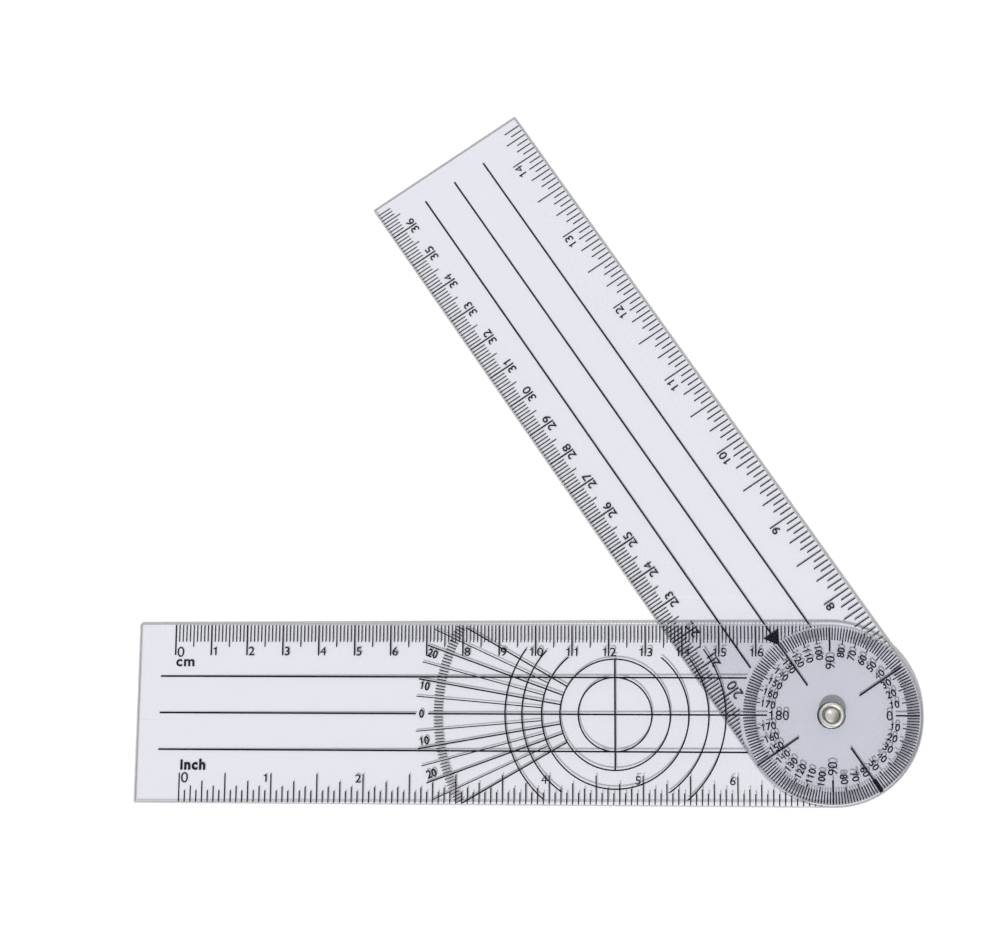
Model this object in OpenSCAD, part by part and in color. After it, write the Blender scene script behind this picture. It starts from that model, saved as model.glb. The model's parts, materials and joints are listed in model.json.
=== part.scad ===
// Angle finder with two clear arms on one rivet.
// The pivot's axis is Z, and the rear head of the rivet stands on z = 0.
// The dial arm runs along -X, and the pointer arm lies under it and turns about Z.
// Both arms share one ruler: straightened out, their scales read on across the pivot.

/* [Arms] */
// Width of each arm, which is also the diameter of its round end
arm_w = 49; // [46:0.5:56]
// Distance from the pivot to the square end of an arm
arm_reach = 190; // [186:1:240]
// Thickness of the clear sheet
sheet_t = 1.2; // [0.9:0.1:1.6]
// Corner radius at the square end
corner_r = 0.6; // [0.3:0.1:2]
// Width of the broken edge all round a sheet
edge_break = 0.35; // [0.1:0.05:0.4]
// Running gap between the two arms
arm_gap = 0.1; // [0.08:0.02:0.3]
// Angle of the pointer arm from the +X axis as the tool lies
rest_angle = 124.2; // [60:0.1:180]
// How far the pointer arm's print lies off the arm's middle, to its centimetre edge
pointer_print_shift = 0.5; // [0:0.05:0.6]

/* [Pivot rivet] */
// Radius of the rivet's shank
shank_r = 1.5; // [1.2:0.1:2]
// Radial clearance between the shank and each bore
bore_clear = 0.05; // [0.02:0.01:0.1]
// Radius of the rear head
rear_head_r = 3.6; // [3:0.1:5]
// Height of the rear head
rear_head_h = 0.9; // [0.8:0.1:1.4]
// Radius of the round over the rim of the rear head
rear_head_round = 0.6; // [0.3:0.1:0.7]
// Radius of the peened dome at the front
dome_r = 2.1; // [2.1:0.1:2.4]
// Height of the peened dome over its seat
dome_h = 0.5; // [0.3:0.1:0.8]

/* [Front washer] */
// Outer radius of the cup washer
washer_r = 3.65; // [3.3:0.05:5]
// Thickness of the washer's floor, which the dome is peened down on
washer_floor = 0.3; // [0.2:0.05:0.5]
// Height of the rolled rim over the arm
rim_h = 0.85; // [0.6:0.05:1.2]
// Gap between the dome and the rolled rim
cup_clear = 0.2; // [0.1:0.05:0.3]

/* [Print] */
// Thickness of the printed ink
ink_t = 0.03; // [0.02:0.01:0.05]
// Width of the millimetre marks and of the fan's degree marks
fine_w = 0.3; // [0.2:0.01:0.35]
// Width of the inch marks
inch_w = 0.33; // [0.2:0.01:0.4]
// Width of the dial's marks
dial_w = 0.33; // [0.25:0.01:0.4]
// Width of the circles, the arcs and the long marks
medium_w = 0.41; // [0.3:0.01:0.45]
// Width of the bold marks, the guide lines and the index lines
bold_w = 0.47; // [0.35:0.01:0.5]

/* [Centimetre scale] */
// Length of one centimetre
cm_step = 10; // [10:1:11]
// Length of the millimetre marks from the arm's edge
mm_mark = 5; // [3:0.1:5.5]
// Length of the half centimetre marks from the arm's edge
half_cm_mark = 6.4; // [6:0.1:7.5]
// Length of the centimetre marks from the arm's edge
cm_mark = 8.7; // [8:0.1:9.5]

/* [Inch scale] */
// Length of one inch
inch_step = 25.4; // [25:0.1:26]
// Length of the sixteenth inch marks from the arm's edge
sixteenth_mark = 3.5; // [3:0.1:4]
// Length of the eighth inch marks from the arm's edge
eighth_mark = 4.65; // [4.2:0.05:5]
// Length of the quarter inch marks from the arm's edge
quarter_mark = 6; // [5.2:0.1:7]
// Length of the half inch and inch marks from the arm's edge
inch_mark = 8.1; // [7.2:0.1:9]

/* [Degree dial] */
// Distance from the rim of the round end to the dial
dial_inset = 0.8; // [0.5:0.1:1.2]
// Length of the dial's short marks
dial_mark = 3.4; // [3:0.1:4]
// Length of the marks at each ten degrees
dial_ten_mark = 4.4; // [4.2:0.1:6]
// Length of the marks at each quarter turn
dial_quarter_mark = 6.5; // [6:0.1:8]
// Ring left free between the dial and the scales
dial_clear = 0.4; // [0.3:0.05:0.8]

/* [Guide lines] */
// Distance between neighbouring guide lines
guide_pitch = 10; // [9:0.5:11]
// Distance from the square end to the guide lines
guide_inset = 6.1; // [5:0.1:9]
// Distance from the dial to the outer guide lines
guide_clear = 0.9; // [0.6:0.1:2]

/* [Circle template] */
// Step between the template's radii
circle_step = 5; // [4.8:0.05:5.2]
// Distance from the dial to the largest circle
template_clear = 4.6; // [4:0.1:6]
// Distance from the cm edge to the top of the 20 mm circle
small_arc_top = 9; // [9:0.1:10]
// Distance from the cm edge to the left top of the 1 inch circle
inch_arc_left_top = 7.2; // [7:0.1:8]
// Distance from the cm edge to the right top of the 1 inch circle
inch_arc_right_top = 9.2; // [9:0.1:10]
// Distance from the inch edge to the foot of the 1 inch circle
inch_arc_foot = 3.6; // [3.5:0.1:5]
// Distance from the cm edge to the top of the largest circle
large_arc_top = 6.7; // [6.5:0.1:8]
// Distance from the inch edge to the foot of the largest circle
large_arc_foot = 1.6; // [1:0.1:3]

/* [Angle fan] */
// Outer radius of the fan's lines
fan_r = 54.6; // [53:0.1:56]
// Inner radius of the row of degree marks
fan_mark_r = 47; // [44:0.5:48]
// Length of a degree mark
fan_mark = 2.6; // [2:0.1:3]
// Distance from the cm edge to the end of the steepest line
fan_top = 0.9; // [0.5:0.1:1.5]
// Distance from the last degree marks to the label on the middle line
fan_label_clear = 1.5; // [1:0.1:2]
// Length of the label's gap in the middle line
fan_label_gap = 3.3; // [2:0.1:3.5]

/* [Index marks] */
// Distance from the pivot to the index lines
index_start = 10; // [8:0.1:12]
// Length of the index triangle
index_tri_l = 3.9; // [3:0.1:5]
// Width of the index triangle
index_tri_w = 5; // [3:0.1:6]
// Distance from the triangle's tip to the rim of the round end
index_tri_inset = 1.3; // [0.9:0.1:2]
// Length of the bar on the opposite line
index_bar_l = 3.9; // [3:0.1:5]
// Width of the bar on the opposite line
index_bar_w = 1; // [0.8:0.1:1.5]
// Distance from the bar to the rim of the round end
index_bar_inset = 0.3; // [0.2:0.1:1]

/* [Hidden] */

clear_sheet = [0.86, 0.88, 0.93, 0.45];
black_ink = [0.06, 0.06, 0.08];
bright_metal = [0.74, 0.73, 0.68];

// Heights of the stack, from the table up
pointer_z = rear_head_h;
dial_arm_z = pointer_z + sheet_t + arm_gap;
washer_z = dial_arm_z + sheet_t;
dome_z = washer_z + washer_floor;

// Sizes that follow from the arms and the rivet
end_r = arm_w / 2;
print_edge = end_r - edge_break;
bore_r = shank_r + bore_clear;
head_foot_r = rear_head_r - rear_head_round;
cup_r = dome_r + cup_clear;

// Margins at the square end: the first centimetre mark, and the last mark of all
zero_inset = 10;
last_inset = 2;

// Counts and readings of the scales, in marks
mm_per_cm = 10;
mm_per_half = 5;
sixteenths = 16;
pivot_cm = round((arm_reach - zero_inset) / cm_step);
pivot_inch = round((arm_reach - zero_inset) / inch_step);
mm_step = cm_step / mm_per_cm;
sixteenth_step = inch_step / sixteenths;
pivot_mm_mark = pivot_cm * mm_per_cm;
pivot_inch_mark = pivot_inch * sixteenths;
last_mm_mark = pivot_mm_mark + round((arm_reach - last_inset) / mm_step);
last_inch_mark = pivot_inch_mark + floor((arm_reach - last_inset) / sixteenth_step);

// Radii of the dial, and of the disc that the scales stay out of
dial_r = end_r - dial_inset;
scale_clear_r = dial_r + dial_clear;
dial_degrees = 2;
dial_long_degrees = 10;

// Ends of the guide lines, measured from the pivot
guide_end = arm_reach - guide_inset;
guide_start = sqrt(pow(dial_r + guide_clear, 2) - pow(guide_pitch, 2));
index_tip = end_r - index_tri_inset;
index_base = index_tip + index_tri_l;

// Radii of the circle template in steps, and the place of its centre
full_circle_steps = [2, 3];
small_arc_steps = 4;
large_arc_steps = 6;
large_arc_r = large_arc_steps * circle_step;
template_x = dial_r + template_clear + large_arc_r;
upright_half_l = full_circle_steps[1] * circle_step;

// The fan's lines: degrees from the middle line, and the circle on which each begins
fan_degrees = 30;
fan_line_degrees = 5;
fan_bold_degrees = 10;
fan_bold_steps = 3;
fan_fine_steps = 4;
fan_label_start = fan_mark_r + fan_mark + fan_label_clear;

// Facets of a round edge in a turned profile
round_steps = 8;
overrun = edge_break;

// Points of an arc about (x, y), from one angle to another
function arc_points(x, y, r, from, to) = [
    for (i = [0 : round_steps])
        let (a = from + (to - from) * i / round_steps)
        [x + r * cos(a), y + r * sin(a)]
];

// Section of a sheet's outer rim: a plain edge with both corners broken
function rim_section(inner, outer) = [
    [inner, 0],
    [outer - edge_break, 0],
    [outer, edge_break],
    [outer, sheet_t - edge_break],
    [outer - edge_break, sheet_t],
    [inner, sheet_t]
];

// One arm's sheet along +X: round end about the pivot, square end with small corner rounds
module arm_sheet() {
    far = arm_reach - corner_r;
    side = end_r - corner_r;
    difference() {
        union() {
            rotate_extrude() polygon(rim_section(0, end_r));
            intersection() {
                linear_extrude(sheet_t) polygon(concat(
                    [[0, -end_r]],
                    arc_points(far, -side, corner_r, -90, 0),
                    arc_points(far, side, corner_r, 0, 90),
                    [[0, end_r]]));
                rotate([90, 0, 90]) linear_extrude(arm_reach) polygon([
                    [-end_r + edge_break, 0],
                    [end_r - edge_break, 0],
                    [end_r, edge_break],
                    [end_r, sheet_t - edge_break],
                    [end_r - edge_break, sheet_t],
                    [-end_r + edge_break, sheet_t],
                    [-end_r, sheet_t - edge_break],
                    [-end_r, edge_break]]);
                translate([0, end_r, 0]) rotate([90, 0, 0]) linear_extrude(arm_w)
                    polygon(rim_section(0, arm_reach));
            }
        }
        translate([0, 0, -overrun]) cylinder(r = bore_r, h = sheet_t + 2 * overrun, $fn = 96);
    }
}

// Puts the sheet of the dial arm in its place
module on_dial_arm() {
    translate([0, 0, dial_arm_z]) children();
}

// Puts the sheet of the pointer arm in its place
module on_pointer_arm() {
    translate([0, 0, pointer_z]) rotate([0, 0, rest_angle]) children();
}

// A layer of ink on the underside of a sheet
module ink() {
    color(black_ink) translate([0, 0, -ink_t]) linear_extrude(ink_t) children();
}

// Ink on the dial arm
module dial_arm_ink() {
    on_dial_arm() ink() children();
}

// Ink on the pointer arm, where the whole print lies a little off the middle
module pointer_arm_ink() {
    on_pointer_arm() translate([0, pointer_print_shift, 0]) ink() children();
}

// A mark across the arm at x, between two heights
module upright_mark(x, from, to, w) {
    translate([x - w / 2, from]) square([w, to - from]);
}

// A mark along a ray from the origin
module ray_mark(angle, from, to, w) {
    rotate(angle) translate([from, -w / 2]) square([to - from, w]);
}

// The inner end of a scale mark, kept outside the disc of the dial
function mark_start(x, y) = abs(x) < scale_clear_r ? max(y, sqrt(pow(scale_clear_r, 2) - pow(x, 2))) : y;

function cm_mark_length(i) = i % mm_per_cm == 0 ? cm_mark : i % mm_per_half == 0 ? half_cm_mark : mm_mark;

function inch_mark_length(i) =
    i % 8 == 0 ? inch_mark : i % 4 == 0 ? quarter_mark : i % 2 == 0 ? eighth_mark : sixteenth_mark;

// Millimetre marks up to an edge on the +Y side, counted from the zero of the ruler
module cm_marks(first, last, edge) {
    for (i = [first : last]) {
        x = (i - pivot_mm_mark) * mm_step;
        start = mark_start(x, end_r - cm_mark_length(i));
        w = i % mm_per_cm == 0 ? medium_w : fine_w;
        if (start < edge) upright_mark(x, start, edge, w);
    }
}

// Sixteenth inch marks up to an edge on the -Y side, counted from the zero of the ruler
module inch_marks(first, last, edge) {
    for (i = [first : last]) {
        x = (i - pivot_inch_mark) * sixteenth_step;
        start = mark_start(x, end_r - inch_mark_length(i));
        if (start < edge) upright_mark(x, -edge, -start, inch_w);
    }
}

// A printed ring about the origin
module ring(r) {
    difference() {
        circle(r = r + medium_w / 2, $fn = 180);
        circle(r = r - medium_w / 2, $fn = 180);
    }
}

// The part of a ring between two heights, and between two places along the arm
module ring_part(r, left, right, foot, top) {
    intersection() {
        ring(r);
        translate([left, foot]) square([right - left, top - foot]);
    }
}

// Guide lines of the dial arm, with a gap for the fan's label in the middle one
module dial_guides() {
    for (side = [-1, 1])
        translate([-guide_end, side * guide_pitch - bold_w / 2])
            square([guide_end - guide_start, bold_w]);
    label_out = template_x + fan_label_start + fan_label_gap;
    label_in = template_x + fan_label_start;
    translate([-guide_end, -bold_w / 2]) square([guide_end - label_out, bold_w]);
    translate([-label_in, -bold_w / 2]) square([label_in - dial_r, bold_w]);
}

// Circles and arcs of the template, about its own centre
module template_rings() {
    reach = large_arc_r + bold_w;
    for (steps = full_circle_steps) ring(steps * circle_step);
    ring_part(small_arc_steps * circle_step, -reach, reach, -reach, end_r - small_arc_top);
    ring_part(inch_step, -reach, 0, inch_arc_foot - end_r, end_r - inch_arc_left_top);
    ring_part(inch_step, 0, reach, inch_arc_foot - end_r, end_r - inch_arc_right_top);
    ring_part(large_arc_r, -reach, reach, large_arc_foot - end_r, end_r - large_arc_top);
}

// A fan line is bold at each ten degrees, and begins on one of the circles
module fan_lines() {
    for (a = [-fan_degrees : fan_line_degrees : fan_degrees]) if (a != 0) {
        bold = a % fan_bold_degrees == 0;
        w = bold ? medium_w : fine_w;
        limit = a > 0 ? end_r - fan_top : print_edge;
        start = (bold ? fan_bold_steps : fan_fine_steps) * circle_step;
        ray_mark(180 - a, start, min(fan_r, (limit - w / 2) / abs(sin(a))), w);
    }
}

// The row of degree marks across the fan
module fan_marks() {
    for (a = [-fan_degrees : fan_degrees]) if (a % fan_line_degrees != 0) {
        limit = (print_edge - fine_w / 2) / abs(sin(a));
        if (limit > fan_mark_r) ray_mark(180 - a, fan_mark_r, min(fan_mark_r + fan_mark, limit), fine_w);
    }
}

// The clear arm on top, with its round end about the rivet
module dial_arm() {
    color(clear_sheet) on_dial_arm() rotate([0, 0, 180]) arm_sheet();
}

// The clear arm below, which turns about the rivet
module pointer_arm() {
    color(clear_sheet) on_pointer_arm() arm_sheet();
}

// One turned piece: rear head with a flat foot, shank, and a dome peened down at the front
module pivot_rivet() {
    dome_sphere_r = (pow(dome_r, 2) + pow(dome_h, 2)) / (2 * dome_h);
    dome_angle = acos(dome_r / dome_sphere_r);
    dome_centre = dome_z + dome_h - dome_sphere_r;
    color(bright_metal) rotate_extrude() polygon(concat(
        [[0, 0]],
        arc_points(head_foot_r, rear_head_round, rear_head_round, -90, 0),
        [[rear_head_r, rear_head_h], [shank_r, rear_head_h], [shank_r, dome_z]],
        arc_points(0, dome_centre, dome_sphere_r, dome_angle, 90)));
}

// Cup washer: a flat floor round the shank and a rim rolled over on itself
module front_washer() {
    roll_r = (washer_r - cup_r) / 2;
    roll_x = (washer_r + cup_r) / 2;
    roll_h = rim_h - washer_floor;
    color(bright_metal) rotate_extrude() polygon(concat(
        [[bore_r, washer_z], [washer_r, washer_z]],
        [for (i = [0 : round_steps]) let (a = 180 * i / round_steps)
            [roll_x + roll_r * cos(a), dome_z + roll_h * sin(a)]],
        [[bore_r, dome_z]]));
}

// Radial marks of the degree dial on the round end
module degree_dial() {
    dial_arm_ink() for (a = [0 : dial_degrees : 360 - dial_degrees]) {
        quarter = a % 90 == 0;
        long = a % dial_long_degrees == 0;
        length = quarter ? dial_quarter_mark : long ? dial_ten_mark : dial_mark;
        ray_mark(a, dial_r - length, dial_r, quarter ? bold_w : dial_w);
    }
}

module dial_arm_cm_scale() {
    dial_arm_ink() cm_marks(0, pivot_mm_mark - 1, print_edge);
}

module dial_arm_inch_scale() {
    dial_arm_ink() inch_marks(0, pivot_inch_mark - 1, print_edge);
}

module dial_arm_guide_lines() {
    dial_arm_ink() dial_guides();
}

// The rings give way where a guide line or an inch mark crosses them
module circle_template() {
    dial_arm_ink() difference() {
        translate([-template_x, 0]) union() {
            template_rings();
            upright_mark(0, -upright_half_l, upright_half_l, bold_w);
        }
        dial_guides();
        inch_marks(0, pivot_inch_mark - 1, print_edge);
    }
}

// The fan gives way to the guide lines, the rings and the marks of both scales
module angle_fan() {
    dial_arm_ink() difference() {
        translate([-template_x, 0]) union() {
            fan_lines();
            fan_marks();
        }
        dial_guides();
        translate([-template_x, 0]) template_rings();
        cm_marks(0, pivot_mm_mark - 1, print_edge);
        inch_marks(0, pivot_inch_mark - 1, print_edge);
    }
}

module pointer_arm_cm_scale() {
    pointer_arm_ink() cm_marks(pivot_mm_mark + 1, last_mm_mark, print_edge - pointer_print_shift);
}

module pointer_arm_inch_scale() {
    pointer_arm_ink() inch_marks(pivot_inch_mark + 1, last_inch_mark, print_edge + pointer_print_shift);
}

module pointer_arm_guide_lines() {
    pointer_arm_ink() {
        for (side = [-1, 1])
            translate([guide_start, side * guide_pitch - bold_w / 2])
                square([guide_end - guide_start, bold_w]);
        translate([index_base, -bold_w / 2]) square([guide_end - index_base, bold_w]);
    }
}

// Index triangle on its line, two cross lines, and a bar on the line that points back
module pointer_arm_index_marks() {
    bar_out = min(end_r - index_bar_inset, print_edge);
    pointer_arm_ink() {
        ray_mark(0, index_start, index_tip + index_tri_l / 2, bold_w);
        polygon([[index_tip, 0], [index_base, -index_tri_w / 2], [index_base, index_tri_w / 2]]);
        for (a = [90, 180, 270]) ray_mark(a, index_start, dial_r, bold_w);
        ray_mark(180, bar_out - index_bar_l, bar_out, index_bar_w);
    }
}

dial_arm();
pointer_arm();
pivot_rivet();
front_washer();
degree_dial();
dial_arm_cm_scale();
dial_arm_inch_scale();
dial_arm_guide_lines();
circle_template();
angle_fan();
pointer_arm_cm_scale();
pointer_arm_inch_scale();
pointer_arm_guide_lines();
pointer_arm_index_marks();
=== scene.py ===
import json
import math

import bpy
from mathutils import Euler, Matrix, Vector


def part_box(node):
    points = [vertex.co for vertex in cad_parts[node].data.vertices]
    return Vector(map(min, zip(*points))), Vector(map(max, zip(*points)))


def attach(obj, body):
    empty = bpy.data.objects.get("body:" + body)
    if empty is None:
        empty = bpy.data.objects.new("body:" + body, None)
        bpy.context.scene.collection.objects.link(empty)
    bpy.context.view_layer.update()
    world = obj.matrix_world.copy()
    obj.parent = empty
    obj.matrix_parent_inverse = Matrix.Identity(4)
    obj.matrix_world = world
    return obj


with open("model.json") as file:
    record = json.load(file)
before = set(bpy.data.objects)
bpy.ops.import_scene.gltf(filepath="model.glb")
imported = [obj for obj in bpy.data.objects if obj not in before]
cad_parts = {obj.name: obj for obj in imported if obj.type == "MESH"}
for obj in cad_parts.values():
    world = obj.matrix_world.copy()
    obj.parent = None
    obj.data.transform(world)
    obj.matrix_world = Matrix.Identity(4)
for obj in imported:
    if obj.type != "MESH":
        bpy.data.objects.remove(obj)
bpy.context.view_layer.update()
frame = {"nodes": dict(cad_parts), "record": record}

MM = 0.001
WHITE = (1, 1, 1, 1)

# The print's frame on each arm, as the model has it, and the readings of its scales at the pivot
DIAL_ARM_INK_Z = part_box("dial_arm")[0].z
POINTER_ARM_INK_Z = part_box("pointer_arm")[0].z
POINTER_ANGLE = math.radians(124.2)
PIVOT_CM = 18
PIVOT_INCH = 7
CM = 10 * MM
INCH = 25.4 * MM

# The ink of the numerals lies within the model's own layer of ink, clear of both of its faces
INK_BOTTOM = -0.028 * MM
INK_THICKNESS = 0.026 * MM

# The share of light that the thin ink lets through, so that its shadow stays faint. The dial's ink
# lets through more, because its shadow falls through two sheets
INK_LETS_THROUGH = 0.25
DIAL_INK_LETS_THROUGH = 0.87

# Camera, in millimetres and radians
CAMERA_PLACE = (-61.22, -9.71, 482.61)
CAMERA_TURN = (0.16114, 0.05899, 0.00563)
CAMERA_LENS = 62.81
SENSOR_WIDTH = 36

# The tool leans on its rivet and on two corners, so a white slip under the dial arm and the table
# under the rest tilt a little against the arms
FLOOR_SLOPE = (-0.00225, 0.0033)
SLIP_SLOPE = (-0.01132, 0.0)
FLOOR_Z = -0.076 * MM
FLOOR_HALF = 3.0
SLIP_LOW = (-0.192, -0.0255)
SLIP_HIGH = (0.0, 0.032)
FLOOR_ALBEDO = 0.85
FLOOR_LIFT = 0.16

# Light: the way back to the lamp, its strength and width, and the even light from all round
LAMP_WAY = (-0.18, -0.53, 1.0)
LAMP_STRENGTH = 2.18
LAMP_ANGLE = math.radians(3.6)
ROOM_STRENGTH = 0.43

# Cards that only gloss sees: their distance from the pivot and how bright each kind is
CARD_DISTANCE = 0.55
CARD_STRENGTH = 2.6
SHADE_STRENGTH = 0.4
HIGHLIGHT_STRENGTH = 5.0


# Node helpers

def socket_of(sockets, name):
    """A node's socket by its name, where it is in use."""
    return next(s for s in sockets if s.name == name and s.enabled)


class Nodes:
    """A node tree, with short calls to add nodes and join their sockets."""

    def __init__(self, tree):
        self.tree = tree

    def join(self, source, target):
        self.tree.links.new(source, target)

    def add(self, kind, inputs=None, **settings):
        node = self.tree.nodes.new(kind)
        for key, value in settings.items():
            setattr(node, key, value)
        for key, value in (inputs or {}).items():
            target = node.inputs[key] if isinstance(key, int) else socket_of(node.inputs, key)
            if isinstance(value, bpy.types.NodeSocket):
                self.join(value, target)
            else:
                target.default_value = value
        return node

    def out(self, kind, inputs=None, output=0, **settings):
        node = self.add(kind, inputs, **settings)
        return node.outputs[output] if isinstance(output, int) else socket_of(node.outputs, output)


def new_group(name, kind, inputs, outputs):
    """A node group with named sockets, its builder, its input node and its output node."""
    tree = bpy.data.node_groups.new(name, kind)
    for label, socket_type, value in inputs:
        socket = tree.interface.new_socket(label, in_out="INPUT", socket_type=socket_type)
        if value is not None:
            socket.default_value = value
    for label, socket_type in outputs:
        tree.interface.new_socket(label, in_out="OUTPUT", socket_type=socket_type)
    build = Nodes(tree)
    return tree, build, build.add("NodeGroupInput"), build.add("NodeGroupOutput")


def math_node(build, operation, first, second=0.0, clamp=False):
    kind = "ShaderNodeMath"
    return build.out(kind, {0: first, 1: second}, operation=operation, use_clamp=clamp)


def plus(build, first, second, clamp=False):
    return math_node(build, "ADD", first, second, clamp)


def minus(build, first, second, clamp=False):
    return math_node(build, "SUBTRACT", first, second, clamp)


def times(build, first, second, clamp=False):
    return math_node(build, "MULTIPLY", first, second, clamp)


def larger(build, first, second):
    return math_node(build, "MAXIMUM", first, second)


# Shader groups. A noise texture gives values about its middle

NOISE_MIDDLE = 0.5


def uneven_group():
    """Soft cloudy unevenness, as in moulded sheet and printed ink: a value about zero."""
    detail, roughness = 3.0, 0.55
    tree, build, given, result = new_group(
        "unevenness", "ShaderNodeTree",
        [("Vector", "NodeSocketVector", None), ("Scale", "NodeSocketFloat", 100.0),
         ("Amount", "NodeSocketFloat", 0.1)],
        [("Value", "NodeSocketFloat")])
    asked = given.outputs
    noise = build.out("ShaderNodeTexNoise", {"Vector": asked["Vector"], "Scale": asked["Scale"],
                                             "Detail": detail, "Roughness": roughness})
    centred = minus(build, noise, NOISE_MIDDLE)
    build.join(times(build, centred, asked["Amount"]), result.inputs["Value"])
    return tree


def scratch_group():
    """Fine hairline scratches: a mask of thin long streaks, turned by an angle."""
    stretch, detail, waver, sharpness = (1.0, 22.0, 1.0), 2.0, 0.6, 9.0
    tree, build, given, result = new_group(
        "hairline scratches", "ShaderNodeTree",
        [("Vector", "NodeSocketVector", None), ("Turn", "NodeSocketVector", (0, 0, 0)),
         ("Scale", "NodeSocketFloat", 60.0), ("Sparseness", "NodeSocketFloat", 0.72)],
        [("Mask", "NodeSocketFloat")])
    asked = given.outputs
    turned = build.out("ShaderNodeMapping", {"Vector": asked["Vector"], "Rotation": asked["Turn"],
                                             "Scale": stretch})
    streaks = build.out("ShaderNodeTexNoise", {"Vector": turned, "Scale": asked["Scale"], "Detail": detail,
                                               "Distortion": waver})
    over = minus(build, streaks, asked["Sparseness"])
    build.join(times(build, over, sharpness, clamp=True), result.inputs["Mask"])
    return tree


def broken_edge_group():
    """Mask is one on a sheet's walls and broken corners, and Wall on its walls alone."""
    face_flatness, corner_flatness = 0.9, 0.3
    tree, build, _, result = new_group("broken edge mask", "ShaderNodeTree", [],
                                       [("Mask", "NodeSocketFloat"), ("Wall", "NodeSocketFloat")])
    normal = build.out("ShaderNodeNewGeometry", output="True Normal")
    height = build.out("ShaderNodeSeparateXYZ", {"Vector": normal}, output="Z")
    flatness = math_node(build, "ABSOLUTE", height)
    build.join(math_node(build, "LESS_THAN", flatness, face_flatness), result.inputs["Mask"])
    build.join(math_node(build, "LESS_THAN", flatness, corner_flatness), result.inputs["Wall"])
    return tree


def place_in(build, group, inputs, output):
    node = build.tree.nodes.new("ShaderNodeGroup")
    node.node_tree = group
    for key, value in inputs.items():
        if isinstance(value, bpy.types.NodeSocket):
            build.join(value, node.inputs[key])
        else:
            node.inputs[key].default_value = value
    return node.outputs[output]


# Materials

def new_material(name):
    """A material with a lone Principled node, and its builder."""
    material = bpy.data.materials.new(name)
    material.use_nodes = True
    shader = material.node_tree.nodes["Principled BSDF"]
    return material, Nodes(material.node_tree), shader


def mix_colour(build, factor, first, second):
    return build.out("ShaderNodeMix", {"Factor": factor, "A": first, "B": second}, output="Result",
                     data_type="RGBA")


def mix_value(build, factor, first, second):
    return build.out("ShaderNodeMix", {"Factor": factor, "A": first, "B": second}, output="Result",
                     data_type="FLOAT")


def clouds_at(build, groups, place, scale, amount=1.0):
    return place_in(build, groups["uneven"], {"Vector": place, "Scale": scale, "Amount": amount}, "Value")


def scratches_at(build, groups, place, turn, scale, sparseness):
    values = {"Vector": place, "Turn": (0, 0, turn), "Scale": scale, "Sparseness": sparseness}
    return place_in(build, groups["scratch"], values, "Mask")


def as_share(build, clouds):
    """Clouds about zero as a share from zero to one."""
    return plus(build, clouds, NOISE_MIDDLE, clamp=True)


def set_relief(build, shader, relief, strength, depth):
    """Gives a material fine bumps."""
    bump = build.out("ShaderNodeBump", {"Strength": strength, "Distance": depth, "Height": relief})
    build.join(bump, shader.inputs["Normal"])


def set_surface(build, share, first, second):
    """Ends a material in a blend of two shaders."""
    whole = build.out("ShaderNodeMixShader", {0: share, 1: first, 2: second})
    build.join(whole, build.tree.nodes["Material Output"].inputs["Surface"])


def clear_sheet(groups):
    """Clear plastic sheet: a faint blue-grey film with gloss, dust and hairline scratches, and edges
    painted grey as painted shade.
    """
    film_tint = (0.938, 0.940, 0.957, 1)
    # The grey edge tint, together with the edge's own alpha, paints the walls and broken corners darker:
    # painted shade for the dark look of a clear cut edge.
    dust_tint, cloud_tint, edge_shade_tint = (0.34, 0.35, 0.40, 1), (0.42, 0.43, 0.50, 1), (0.52, 0.51, 0.53, 1)
    face_alpha, cloud_alpha, scratch_alpha = 0.008, 0.007, 0.03
    edge_alpha, entry_alpha, corner_exit_alpha, wall_exit_alpha = 0.52, 1.0, 0.65, 0.0
    face_roughness, scratch_roughness, edge_roughness = 0.08, 0.3, 0.45
    cloud_scale, wave_scale, wave_amount, scratch_depth = 90.0, 35.0, 0.6, 0.15
    plastic_ior, gloss_share = 1.49, 0.2
    material, build, shader = new_material("clear sheet")
    place = build.out("ShaderNodeTexCoord", output="Object")
    edge = place_in(build, groups["edge"], {}, "Mask")
    clouds = clouds_at(build, groups, place, cloud_scale)
    along = scratches_at(build, groups, place, turn=0.35, scale=55.0, sparseness=0.70)
    across = scratches_at(build, groups, place, turn=1.75, scale=42.0, sparseness=0.72)
    marks = larger(build, along, across)
    face = mix_colour(build, as_share(build, clouds), dust_tint, cloud_tint)
    # Grey walls and broken corners: painted shade.
    build.join(mix_colour(build, edge, face, edge_shade_tint), shader.inputs["Base Color"])
    smooth = plus(build, times(build, marks, scratch_roughness), face_roughness)
    build.join(mix_value(build, edge, smooth, edge_roughness), shader.inputs["Roughness"])
    waves = clouds_at(build, groups, place, wave_scale, wave_amount)
    relief = minus(build, waves, times(build, marks, scratch_depth))
    set_relief(build, shader, relief, strength=0.25, depth=0.05 * MM)
    shader.inputs["IOR"].default_value = plastic_ior
    gloss = times(build, build.out("ShaderNodeFresnel", {"IOR": plastic_ior}), gloss_share)
    dusty = plus(build, face_alpha, times(build, clouds, cloud_alpha))
    marked = plus(build, dusty, times(build, marks, scratch_alpha))
    solid = larger(build, marked, gloss)
    shadow = build.out("ShaderNodeLightPath", output="Is Shadow Ray")
    inside = build.out("ShaderNodeNewGeometry", output="Backfacing")
    wall = place_in(build, groups["edge"], {}, "Wall")
    exit_alpha = mix_value(build, wall, corner_exit_alpha, wall_exit_alpha)
    edge_shadow = mix_value(build, inside, entry_alpha, exit_alpha)
    edge_solid = mix_value(build, shadow, edge_alpha, edge_shadow)
    film = build.out("ShaderNodeBsdfTransparent", {"Color": film_tint})
    set_surface(build, mix_value(build, edge, solid, edge_solid), film, shader.outputs["BSDF"])
    return material


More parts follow.
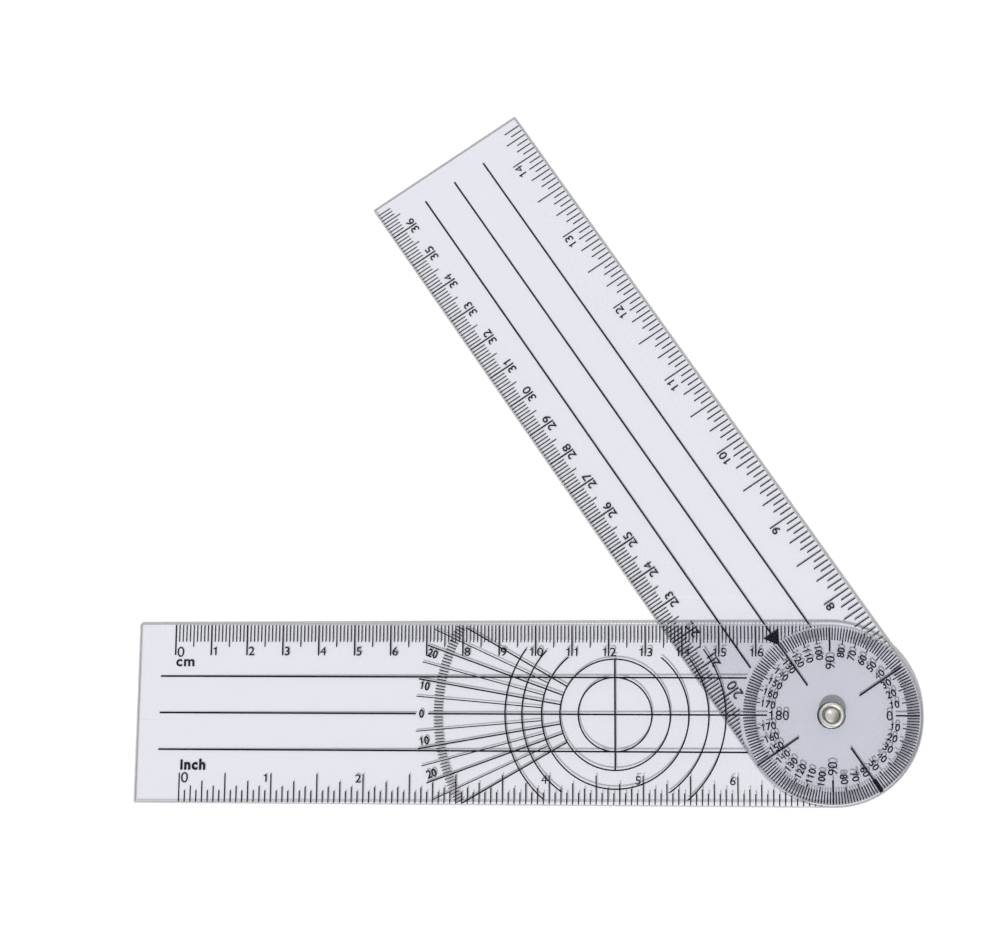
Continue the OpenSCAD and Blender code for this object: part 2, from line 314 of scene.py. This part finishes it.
def print_ink(groups, name, lets_through):
    """Black screen-printed ink: nearly black, a little uneven, with a soft sheen and a faint shadow."""
    deep_black, worn_black = (0.004, 0.004, 0.008, 1), (0.014, 0.014, 0.022, 1)
    grain_scale, base_roughness, grain_roughness, sheen_level = 1400.0, 0.55, 0.3, 0.1
    material, build, shader = new_material(name)
    place = build.out("ShaderNodeTexCoord", output="Object")
    grain = clouds_at(build, groups, place, grain_scale)
    tone = mix_colour(build, as_share(build, grain), deep_black, worn_black)
    build.join(tone, shader.inputs["Base Color"])
    shader.inputs["Specular IOR Level"].default_value = sheen_level
    rough = plus(build, times(build, grain, grain_roughness), base_roughness)
    build.join(rough, shader.inputs["Roughness"])
    set_relief(build, shader, grain, strength=0.2, depth=0.01 * MM)
    path = build.add("ShaderNodeLightPath")
    lighting = larger(build, path.outputs["Is Shadow Ray"], path.outputs["Is Diffuse Ray"])
    light_through = build.out("ShaderNodeBsdfTransparent", {"Color": WHITE})
    set_surface(build, times(build, lighting, lets_through), shader.outputs["BSDF"], light_through)
    return material


def ring_band(build, radius, middle, half_width):
    """One on a circle about the pivot, falling to zero at half its width on both sides."""
    away = math_node(build, "ABSOLUTE", minus(build, radius, middle))
    return minus(build, 1.0, math_node(build, "DIVIDE", away, half_width), clamp=True)


def rivet_metal(groups):
    """Bright nickel, turned and lightly worn, with a dome painted darker, painted shade in the groove
    round the dome and at the foot, and a painted dark line on the rim.
    """
    bright_nickel, dim_nickel = (0.80, 0.79, 0.755, 1), (0.60, 0.59, 0.56, 1)
    # The dome is painted darker than the rest of the nickel: painted shade.
    dome_shade_tint, dome_shade_share = (0.34, 0.315, 0.30, 1), 0.45
    # Near black of the painted rings: painted shade in the groove round the dome and at the washer's foot,
    # and a painted dark reflection as a fine line on the rim.
    painted_shade_tint = (0.030, 0.028, 0.022, 1)
    groove_r, groove_half = 2.09 * MM, 0.36 * MM
    painted_line_r, painted_line_half, painted_line_share = 3.08 * MM, 0.2 * MM, 0.6
    foot_r, foot_half = 3.62 * MM, 0.44 * MM
    base_roughness, cloud_roughness, worn_roughness, shade_ring_roughness = 0.17, 0.10, 0.12, 0.3
    ring_scale, ring_waver, ring_detail, ring_depth, wear_depth = 900.0, 1.5, 2.0, 0.25, 0.3
    cloud_scale = 700.0
    material, build, shader = new_material("rivet metal")
    place = build.out("ShaderNodeTexCoord", output="Object")
    flat = build.out("ShaderNodeVectorMath", {0: place, 1: (1, 1, 0)}, operation="MULTIPLY")
    radius = build.out("ShaderNodeVectorMath", {0: flat}, output="Value", operation="LENGTH")
    rings = build.out("ShaderNodeTexWave", {"Vector": place, "Scale": ring_scale, "Distortion": ring_waver,
                                            "Detail": ring_detail},
                      output="Fac", wave_type="RINGS", rings_direction="Z")
    clouds = clouds_at(build, groups, place, cloud_scale)
    wear = scratches_at(build, groups, place, turn=0.6, scale=500.0, sparseness=0.62)
    nickel_tone = mix_colour(build, as_share(build, clouds), dim_nickel, bright_nickel)
    # Paints the dome darker: painted shade.
    on_dome = math_node(build, "LESS_THAN", radius, groove_r)
    nickel_tone = mix_colour(build, times(build, on_dome, dome_shade_share), nickel_tone, dome_shade_tint)
    # Painted shade in the groove and at the foot, and a painted dark reflection on the rim, made uneven by
    # the clouds.
    painted_line = times(build, ring_band(build, radius, painted_line_r, painted_line_half), painted_line_share)
    corners = larger(build, ring_band(build, radius, groove_r, groove_half),
                     ring_band(build, radius, foot_r, foot_half))
    painted_shade = times(build, larger(build, corners, painted_line), plus(build, clouds, 1.0), clamp=True)
    build.join(mix_colour(build, painted_shade, nickel_tone, painted_shade_tint), shader.inputs["Base Color"])
    shader.inputs["Metallic"].default_value = 1.0
    cloudy = plus(build, times(build, clouds, cloud_roughness), base_roughness)
    rough = plus(build, times(build, plus(build, wear, on_dome), worn_roughness), cloudy)
    # The painted rings are made rougher too.
    rough = plus(build, rough, times(build, painted_shade, shade_ring_roughness))
    build.join(rough, shader.inputs["Roughness"])
    relief = minus(build, times(build, rings, ring_depth), times(build, wear, wear_depth))
    set_relief(build, shader, relief, strength=0.35, depth=0.02 * MM)
    return material


def seen_directly(build):
    """One where the camera, gloss or glass looks, and zero for the light that falls on things."""
    path = build.add("ShaderNodeLightPath")
    shown = larger(build, path.outputs["Is Camera Ray"], path.outputs["Is Glossy Ray"])
    return larger(build, shown, path.outputs["Is Transmission Ray"])


def table_white():
    """Matt white that the camera, gloss and glass see a little lighter, and that keeps shadows."""
    material, build, shader = new_material("table white")
    shader.inputs["Base Color"].default_value = (FLOOR_ALBEDO, FLOOR_ALBEDO, FLOOR_ALBEDO, 1)
    shader.inputs["Roughness"].default_value = 1.0
    shader.inputs["Specular IOR Level"].default_value = 0.0
    shader.inputs["Emission Color"].default_value = WHITE
    build.join(times(build, seen_directly(build), FLOOR_LIFT), shader.inputs["Emission Strength"])
    return material


def card_shade(name, glow):
    """Black felt of a flag, or a card that glows."""
    felt_black = (0.02, 0.02, 0.02, 1)
    material, _, shader = new_material(name)
    shader.inputs["Base Color"].default_value = felt_black
    shader.inputs["Roughness"].default_value = 1.0
    shader.inputs["Emission Color"].default_value = WHITE
    shader.inputs["Emission Strength"].default_value = glow
    return material


# Printed characters: each is one unit tall and one unit thick, with its foot on y = 0. Cells, gaps,
# boldness and the outline of the 1 are shares of the height

FONT_CAPITAL = 0.69
CURVE_STEPS = 3
DIGIT_CELL = 0.72
LETTER_GAP = 0.12
DIGIT_BOLDNESS = 0.016
DIAL_DIGIT_BOLDNESS = 0.034
ONE_SHARES = ((0.30, 0.0), (0.43, 0.0), (0.43, 1.0), (0.34, 1.0), (0.30, 0.90), (0.22, 0.83), (0.10, 0.80),
              (0.10, 0.71), (0.30, 0.71))


def flat_solid(name, outline):
    """A closed solid one unit thick over an outline."""
    count = len(outline)
    low = [(x, y, 0) for x, y in outline]
    high = [(x, y, 1) for x, y in outline]
    walls = [(i, (i + 1) % count, count + (i + 1) % count, count + i) for i in range(count)]
    mesh = bpy.data.meshes.new(name)
    mesh.from_pydata(low + high, [], [tuple(range(count))[::-1], tuple(range(count, 2 * count)), *walls])
    return mesh


def character_mesh(character, boldness=0.0):
    """One character, as a closed solid. A 4 is never made bolder, because its opening would close."""
    if character == "1":
        middle = sum(x for x, y in ONE_SHARES if y == 0) / 2
        return flat_solid("one", [(x + math.copysign(boldness, x - middle), y) for x, y in ONE_SHARES])
    curve = bpy.data.curves.new("character", "FONT")
    curve.body = character
    curve.size = 1 / FONT_CAPITAL
    curve.offset = 0.0 if character == "4" else boldness
    curve.extrude = 0.5
    curve.resolution_u = CURVE_STEPS
    holder = bpy.data.objects.new("character", curve)
    bpy.context.scene.collection.objects.link(holder)
    made = bpy.data.meshes.new_from_object(holder.evaluated_get(bpy.context.evaluated_depsgraph_get()))
    made.transform(Matrix.Translation((0, 0, curve.extrude)))
    bpy.data.objects.remove(holder)
    return made


def digit_collection(name, boldness):
    """The ten digits as separate objects, for the geometry trees to pick from."""
    digits = bpy.data.collections.new(name)
    for value in range(10):
        digits.objects.link(bpy.data.objects.new(f"{name}_{value}", character_mesh(str(value), boldness)))
    return digits


# Geometry trees for the printed numerals

def integer_node(build, operation, first, second):
    return build.out("FunctionNodeIntegerMath", {0: first, 1: second}, operation=operation)


def vector_node(build, x, y, z=0.0):
    return build.out("ShaderNodeCombineXYZ", {"X": x, "Y": y, "Z": z})


def either(build, switch, when_false, when_true):
    return build.out("GeometryNodeSwitch", {"Switch": switch, "False": when_false, "True": when_true},
                     input_type="FLOAT")


def both(build, first, second):
    return build.out("FunctionNodeBooleanMath", {0: first, 1: second}, operation="AND")


def compare(build, operation, first, second):
    """Compares two whole numbers, which are the node's inputs 2 and 3."""
    return build.out("FunctionNodeCompare", {2: first, 3: second}, data_type="INT", operation=operation)


def turned_about_z(build, vector, angle):
    return build.out("ShaderNodeVectorRotate", {"Vector": vector, "Angle": angle}, rotation_type="Z_AXIS")


def row_of_points(build, count):
    """As many points as there are numbers, all at the origin."""
    return build.out("GeometryNodeMeshLine", {"Count": count, "Offset": (0, 0, 0)}, mode="OFFSET")


def digit_width(build, size):
    return times(build, size["Height"], size["Width Share"])


def stamp(build, points, place, shown, digit, digits, turn, size):
    """Prints one digit on each shown point."""
    spots = build.out("GeometryNodeSetPosition", {"Geometry": points, "Position": place})
    scale = vector_node(build, digit_width(build, size), size["Height"], size["Thickness"])
    turned = vector_node(build, 0.0, 0.0, turn)
    return build.out("GeometryNodeInstanceOnPoints",
                     {"Points": spots, "Selection": shown, "Instance": digits, "Pick Instance": True,
                      "Instance Index": digit, "Rotation": turned, "Scale": scale})


def ink_end(build, parts, ink, result):
    """Joins what was stamped, makes it real, gives it its ink and ends the tree."""
    joined = build.add("GeometryNodeJoinGeometry")
    for part in parts:
        build.join(part, joined.inputs[0])
    real = build.out("GeometryNodeRealizeInstances", {"Geometry": joined.outputs[0]})
    inked = build.out("GeometryNodeSetMaterial", {"Geometry": real, "Material": ink})
    build.join(inked, result.inputs["Geometry"])


def digits_of(build, given):
    return build.out("GeometryNodeCollectionInfo", {"Collection": given.outputs["Digits"],
                                                    "Separate Children": True, "Reset Children": True})


def digit_places(build, number):
    """A number's units, tens and hundreds."""
    units = integer_node(build, "MODULO", number, 10)
    tens = integer_node(build, "MODULO", integer_node(build, "DIVIDE", number, 10), 10)
    return units, tens, integer_node(build, "DIVIDE", number, 100)


def scale_numerals_tree():
    """Numerals by the marks of a scale: split about the mark, or units right and tens left of it."""
    tree, build, given, result = new_group(
        "scale numerals", "GeometryNodeTree",
        [("Digits", "NodeSocketCollection", None), ("Ink", "NodeSocketMaterial", None),
         ("First", "NodeSocketInt", 1), ("Count", "NodeSocketInt", 16), ("Left Out", "NodeSocketInt", -1),
         ("Pitch", "NodeSocketFloat", CM), ("Pivot Reading", "NodeSocketFloat", PIVOT_CM),
         ("Foot", "NodeSocketFloat", 0.0), ("Height", "NodeSocketFloat", 2.3 * MM),
         ("Width Share", "NodeSocketFloat", 1.12), ("Gap Right", "NodeSocketFloat", 0.35 * MM),
         ("Gap Left", "NodeSocketFloat", 0.3 * MM), ("Split", "NodeSocketBool", True),
         ("Thickness", "NodeSocketFloat", INK_THICKNESS)],
        [("Geometry", "NodeSocketGeometry")])
    size = given.outputs
    points = row_of_points(build, size["Count"])
    number = integer_node(build, "ADD", build.out("GeometryNodeInputIndex"), size["First"])
    mark = times(build, minus(build, number, size["Pivot Reading"]), size["Pitch"])
    cell = times(build, digit_width(build, size), DIGIT_CELL)
    left = minus(build, minus(build, mark, size["Gap Left"]), cell)
    right = plus(build, mark, size["Gap Right"])
    units_x = either(build, size["Split"], left, right)
    tens_x = either(build, size["Split"], minus(build, left, cell), left)
    units, tens, _ = digit_places(build, number)
    kept = compare(build, "NOT_EQUAL", number, size["Left Out"])
    has_tens = both(build, kept, compare(build, "GREATER_THAN", tens, 0))
    digits = digits_of(build, given)
    units_at = vector_node(build, units_x, size["Foot"])
    tens_at = vector_node(build, tens_x, size["Foot"])
    parts = [stamp(build, points, units_at, kept, units, digits, 0.0, size),
             stamp(build, points, tens_at, has_tens, tens, digits, 0.0, size)]
    ink_end(build, parts, size["Ink"], result)
    return tree


def dial_numbers_tree():
    """Numbers round one half of the dial, read outwards on its right and inwards on its left."""
    quarter_degrees, last_with_two, fewest_digits = 90.0, 99.0, 2.0
    tree, build, given, result = new_group(
        "dial numbers", "GeometryNodeTree",
        [("Digits", "NodeSocketCollection", None), ("Ink", "NodeSocketMaterial", None),
         ("First", "NodeSocketInt", 10), ("Count", "NodeSocketInt", 17), ("Step", "NodeSocketInt", 10),
         ("Left Out", "NodeSocketInt", 90), ("Side", "NodeSocketFloat", 1.0),
         ("Radius", "NodeSocketFloat", 17.2 * MM), ("Height", "NodeSocketFloat", 1.93 * MM),
         ("Width Share", "NodeSocketFloat", 1.0), ("Thickness", "NodeSocketFloat", INK_THICKNESS)],
        [("Geometry", "NodeSocketGeometry")])
    size = given.outputs
    points = row_of_points(build, size["Count"])
    steps = integer_node(build, "MULTIPLY", build.out("GeometryNodeInputIndex"), size["Step"])
    number = integer_node(build, "ADD", steps, size["First"])
    angle = times(build, math_node(build, "RADIANS", number), size["Side"])
    past_quarter = math_node(build, "GREATER_THAN", number, quarter_degrees)
    turn = minus(build, angle, times(build, past_quarter, math.pi))
    three_long = math_node(build, "GREATER_THAN", number, last_with_two)
    digit_count = plus(build, three_long, fewest_digits)
    cell = times(build, digit_width(build, size), DIGIT_CELL)
    centre = turned_about_z(build, vector_node(build, size["Radius"], 0.0), angle)
    kept = compare(build, "NOT_EQUAL", number, size["Left Out"])
    has_hundreds = both(build, kept, three_long)
    digits = digits_of(build, given)
    drop = times(build, size["Height"], -0.5)

    def at(cells_from_end):
        """The foot of a digit so many cells back from the number's end."""
        start = minus(build, times(build, digit_count, 0.5), cells_from_end)
        foot = vector_node(build, times(build, start, cell), drop)
        turned = turned_about_z(build, foot, turn)
        return build.out("ShaderNodeVectorMath", {0: centre, 1: turned}, operation="ADD")

    shown = [kept, kept, has_hundreds]
    parts = [stamp(build, points, at(place + 1.0), shown[place], digit, digits, turn, size)
             for place, digit in enumerate(digit_places(build, number))]
    ink_end(build, parts, size["Ink"], result)
    return tree


def grown(tree, values):
    """The mesh that a geometry tree makes from the given values."""
    holder = bpy.data.objects.new("holder", bpy.data.meshes.new("holder"))
    bpy.context.scene.collection.objects.link(holder)
    modifier = holder.modifiers.new("tree", "NODES")
    modifier.node_group = tree
    for item in tree.interface.items_tree:
        if item.in_out == "INPUT" and item.name in values:
            modifier[item.identifier] = values[item.name]
    holder.update_tag()
    made = bpy.data.meshes.new_from_object(holder.evaluated_get(bpy.context.evaluated_depsgraph_get()))
    bpy.data.objects.remove(holder)
    return made


# Printed pieces

def word_parts(words, x, y, height, width_share=1.0, turn=0.0, boldness=0.0, align="left"):
    """Characters of a printed word, each turned and placed on the arm."""
    cells = []
    for character in words:
        mesh = character_mesh(character, boldness)
        reach = max(v.co.x for v in mesh.vertices)
        cells.append((mesh, DIGIT_CELL if character.isdigit() else reach + LETTER_GAP))
    whole = sum(cell for _, cell in cells)
    start = {"left": 0.0, "centre": -whole / 2, "right": -whole}[align]
    drop = -height / 2 if align == "centre" else 0.0
    parts = []
    for mesh, cell in cells:
        size = Matrix.Diagonal((height * width_share, height, INK_THICKNESS, 1))
        step = Matrix.Translation((start * height * width_share, drop, 0))
        mesh.transform(Matrix.Translation((x, y, 0)) @ Matrix.Rotation(turn, 4, "Z") @ step @ size)
        parts.append(mesh)
        start += cell
    return parts


def ink_piece(name, meshes, body, place, ink):
    """Joins printed meshes into one piece of ink on an arm's underside."""
    vertices, faces = [], []
    for mesh in meshes:
        base = len(vertices)
        vertices += [tuple(place @ v.co) for v in mesh.vertices]
        faces += [tuple(base + i for i in p.vertices) for p in mesh.polygons]
    made = bpy.data.meshes.new(name)
    made.from_pydata(vertices, [], faces)
    made.materials.append(ink)
    piece = bpy.data.objects.new(name, made)
    bpy.context.scene.collection.objects.link(piece)
    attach(piece, body)
    return piece


def inch_numerals(trees, given, first, count, foot, height, left_out=-1):
    """Whole inches, with the units right of their mark and the tens left of it."""
    values = {"First": first, "Count": count, "Left Out": left_out, "Pitch": INCH,
              "Pivot Reading": float(PIVOT_INCH), "Foot": foot, "Height": height,
              "Gap Left": 0.45 * MM, "Split": False}
    return grown(trees["scale"], {**given, **values})


def dial_arm_numerals(trees, ink, digits, place):
    """Numerals of both scales, their larger zeros, and the two unit words."""
    zero_height, zero_share, zero_gap, word_height = 2.8 * MM, 1.1, 0.35 * MM, 2.7 * MM
    zero_cm_x, zero_cm_foot = -PIVOT_CM * CM + zero_gap, 15.3 * MM
    zero_inch_x, zero_inch_foot = -PIVOT_INCH * INCH + zero_gap, -19.0 * MM
    cm_x, cm_foot = -179.8 * MM, 12.8 * MM
    inch_x, inch_foot = -177.7 * MM, -15.4 * MM
    given = {"Digits": digits, "Ink": ink}
    centimetres = grown(trees["scale"], {**given, "Left Out": 7, "Foot": 15.8 * MM, "Gap Left": 0.0})
    inches = inch_numerals(trees, given, first=1, count=6, foot=-18.7 * MM, height=2.2 * MM, left_out=3)
    zero_cm = word_parts("0", zero_cm_x, zero_cm_foot, zero_height, zero_share)
    zero_inch = word_parts("0", zero_inch_x, zero_inch_foot, zero_height, zero_share)
    unit_cm = word_parts("cm", cm_x, cm_foot, word_height, width_share=1.06, boldness=0.035)
    unit_inch = word_parts("inch", inch_x, inch_foot, word_height, width_share=0.97, boldness=0.06)
    meshes = [centimetres, inches, *zero_cm, *zero_inch, *unit_cm, *unit_inch]
    return ink_piece("dial_arm_numerals", meshes, "dial_arm", place, ink)


def dial_numbers(trees, ink, digits, place):
    """Numbers of the degree dial, with the larger ones at each quarter turn."""
    height, width_share, boldness = 2.55 * MM, 1.04, 0.01
    quarter = math.pi / 2
    # Word, its middle in millimetres, and its turn
    spots = (("0", 15.6, 0, 0), ("180", -14.1, 0, 0), ("90", 0, 14.2, quarter), ("90", 0, -14.2, quarter))
    given = {"Digits": digits, "Ink": ink}
    halves = [grown(trees["dial"], {**given, "Side": side}) for side in (1.0, -1.0)]
    large = []
    for word, x, y, turn in spots:
        large += word_parts(word, x * MM, y * MM, height, width_share, turn, boldness, "centre")
    return ink_piece("dial_numbers", halves + large, "dial_arm", place, ink)


def fan_labels(ink, place):
    """Bold labels of the angle fan at its middle line, ten and twenty degrees."""
    height, width_share, boldness = 2.15 * MM, 0.9, 0.045
    # Word, its middle in millimetres, and its turn in degrees
    spots = (("0", -111.2, 0, 0), ("10", -110.4, 7.6, -10), ("10", -110.4, -7.3, 10),
             ("20", -108.3, 16.4, -18), ("20", -108.25, -16.1, 18))
    meshes = []
    for word, x, y, degrees in spots:
        turn = math.radians(degrees)
        meshes += word_parts(word, x * MM, y * MM, height, width_share, turn, boldness, "centre")
    return ink_piece("fan_labels", meshes, "dial_arm", place, ink)


def pointer_arm_numerals(trees, ink, digits, place):
    """Numerals of both scales of the pointer arm, with a larger 20 split about its mark."""
    first_cm, first_foot, first_height = 20, 16.0 * MM, 2.9 * MM
    gap_left, gap_right = 0.3 * MM, 0.4 * MM
    first_x = (first_cm - PIVOT_CM) * CM
    given = {"Digits": digits, "Ink": ink}
    centimetres = grown(trees["scale"], {**given, "First": 21, "Foot": 16.4 * MM, "Height": 2.35 * MM})
    inches = inch_numerals(trees, given, first=8, count=7, foot=-18.2 * MM, height=2.3 * MM)
    first = [*word_parts("2", first_x - gap_left, first_foot, first_height, align="right"),
             *word_parts("0", first_x + gap_right, first_foot, first_height)]
    return ink_piece("pointer_arm_numerals", [centimetres, inches, *first], "pointer_arm", place, ink)


# The model's own pieces

def paint(nodes, material):
    """Gives a material to model nodes in place of their plain one."""
    for name in nodes:
        mesh = frame["nodes"][name].data
        mesh.materials.clear()
        mesh.materials.append(material)


def build_tool():
    """Gives every node of the model its finish, and prints the numerals on the arms."""
    groups = {"uneven": uneven_group(), "scratch": scratch_group(), "edge": broken_edge_group()}
    sheet, metal = clear_sheet(groups), rivet_metal(groups)
    ink = print_ink(groups, "print ink", INK_LETS_THROUGH)
    dial_ink = print_ink(groups, "dial ink", DIAL_INK_LETS_THROUGH)
    paint(["dial_arm", "pointer_arm"], sheet)
    paint(["pivot_rivet", "front_washer"], metal)
    printed = [m["node"] for m in frame["record"]["subparts"] if m["material_slot"] == "black_ink"]
    paint(printed, ink)
    paint(["degree_dial"], dial_ink)
    digits = digit_collection("scale_digit", DIGIT_BOLDNESS)
    dial_digits = digit_collection("dial_digit", DIAL_DIGIT_BOLDNESS)
    trees = {"scale": scale_numerals_tree(), "dial": dial_numbers_tree()}
    on_dial_arm = Matrix.Translation((0, 0, DIAL_ARM_INK_Z + INK_BOTTOM))
    on_pointer_arm = (Matrix.Translation((0, 0, POINTER_ARM_INK_Z + INK_BOTTOM))
                      @ Matrix.Rotation(POINTER_ANGLE, 4, "Z"))
    dial_arm_numerals(trees, ink, digits, on_dial_arm)
    dial_numbers(trees, dial_ink, dial_digits, on_dial_arm)
    fan_labels(ink, on_dial_arm)
    pointer_arm_numerals(trees, ink, digits, on_pointer_arm)


# Stage

def stage_quad(name, corners, material):
    """A flat part of the stage with four corners."""
    mesh = bpy.data.meshes.new(name)
    mesh.from_pydata(corners, [], [(0, 1, 2, 3)])
    mesh.materials.append(material)
    made = bpy.data.objects.new(name, mesh)
    bpy.context.scene.collection.objects.link(made)
    return made


def tilted_sheet(name, low, high, slope, material):
    """A flat part of the stage between two corners, tilted about the pivot."""
    corners = ((low[0], low[1]), (high[0], low[1]), (high[0], high[1]), (low[0], high[1]))
    return stage_quad(name, [(x, y, FLOOR_Z + x * slope[0] + y * slope[1]) for x, y in corners], material)


def table(material):
    """A wide table top, and a slip on it that the dial arm's far end rests on."""
    tilted_sheet("table", (-FLOOR_HALF, -FLOOR_HALF), (FLOOR_HALF, FLOOR_HALF), FLOOR_SLOPE, material)
    slip = tilted_sheet("slip", SLIP_LOW, SLIP_HIGH, SLIP_SLOPE, material)
    slip.visible_shadow = False


def card(name, material, bearing, width, low, high):
    """An upright card at a bearing in degrees, which only gloss sees, so that metal shows its form."""
    turn = Matrix.Rotation(math.radians(bearing), 4, "Z")
    sides = ((-1, low), (1, low), (1, high), (-1, high))
    corners = [turn @ Vector((CARD_DISTANCE, side * width / 2, height)) for side, height in sides]
    made = stage_quad(name, corners, material)
    for kind in ("camera", "diffuse", "transmission", "volume_scatter", "shadow"):
        setattr(made, "visible_" + kind, False)


def cards():
    """Dark flags, a grey card and white cards about the tool."""
    black, grey = card_shade("flag black", 0.0), card_shade("card grey", SHADE_STRENGTH)
    white, bright = card_shade("card white", CARD_STRENGTH), card_shade("card bright", HIGHLIGHT_STRENGTH)
    card("south flag", black, bearing=-90, width=0.9, low=0.01, high=0.20)
    card("east flag", black, bearing=-20, width=1.2, low=0.01, high=0.34)
    card("east card", grey, bearing=-20, width=1.2, low=0.34, high=1.20)
    card("south card", white, bearing=-110, width=0.5, low=0.20, high=0.62)
    card("north card", bright, bearing=105, width=0.4, low=1.00, high=1.60)


def lamp():
    """A distant lamp of small width, so that shadows stay crisp close under the sheets."""
    light = bpy.data.lights.new("lamp", "SUN")
    light.energy = LAMP_STRENGTH
    light.angle = LAMP_ANGLE
    holder = bpy.data.objects.new("lamp", light)
    holder.visible_glossy = False
    holder.rotation_euler = Vector(LAMP_WAY).to_track_quat("Z", "Y").to_euler()
    bpy.context.scene.collection.objects.link(holder)


def room():
    """Even white light from all round, which the camera, gloss and glass see as white."""
    world = bpy.data.worlds.new("room")
    bpy.context.scene.world = world
    world.use_nodes = True
    build = Nodes(world.node_tree)
    shader = world.node_tree.nodes["Background"]
    shader.inputs["Color"].default_value = WHITE
    build.join(mix_value(build, seen_directly(build), ROOM_STRENGTH, 1.0), shader.inputs["Strength"])


def camera():
    """The photograph's view, nearly straight down."""
    lens = bpy.data.cameras.new("camera")
    lens.lens = CAMERA_LENS
    lens.sensor_width = SENSOR_WIDTH
    lens.clip_start = 10 * MM
    holder = bpy.data.objects.new("camera", lens)
    holder.location = [value * MM for value in CAMERA_PLACE]
    holder.rotation_euler = Euler(CAMERA_TURN, "XYZ")
    bpy.context.scene.collection.objects.link(holder)
    bpy.context.scene.camera = holder


camera()
build_tool()
table(table_white())
cards()
lamp()
room()
bpy.context.scene.view_settings.view_transform = "Standard"
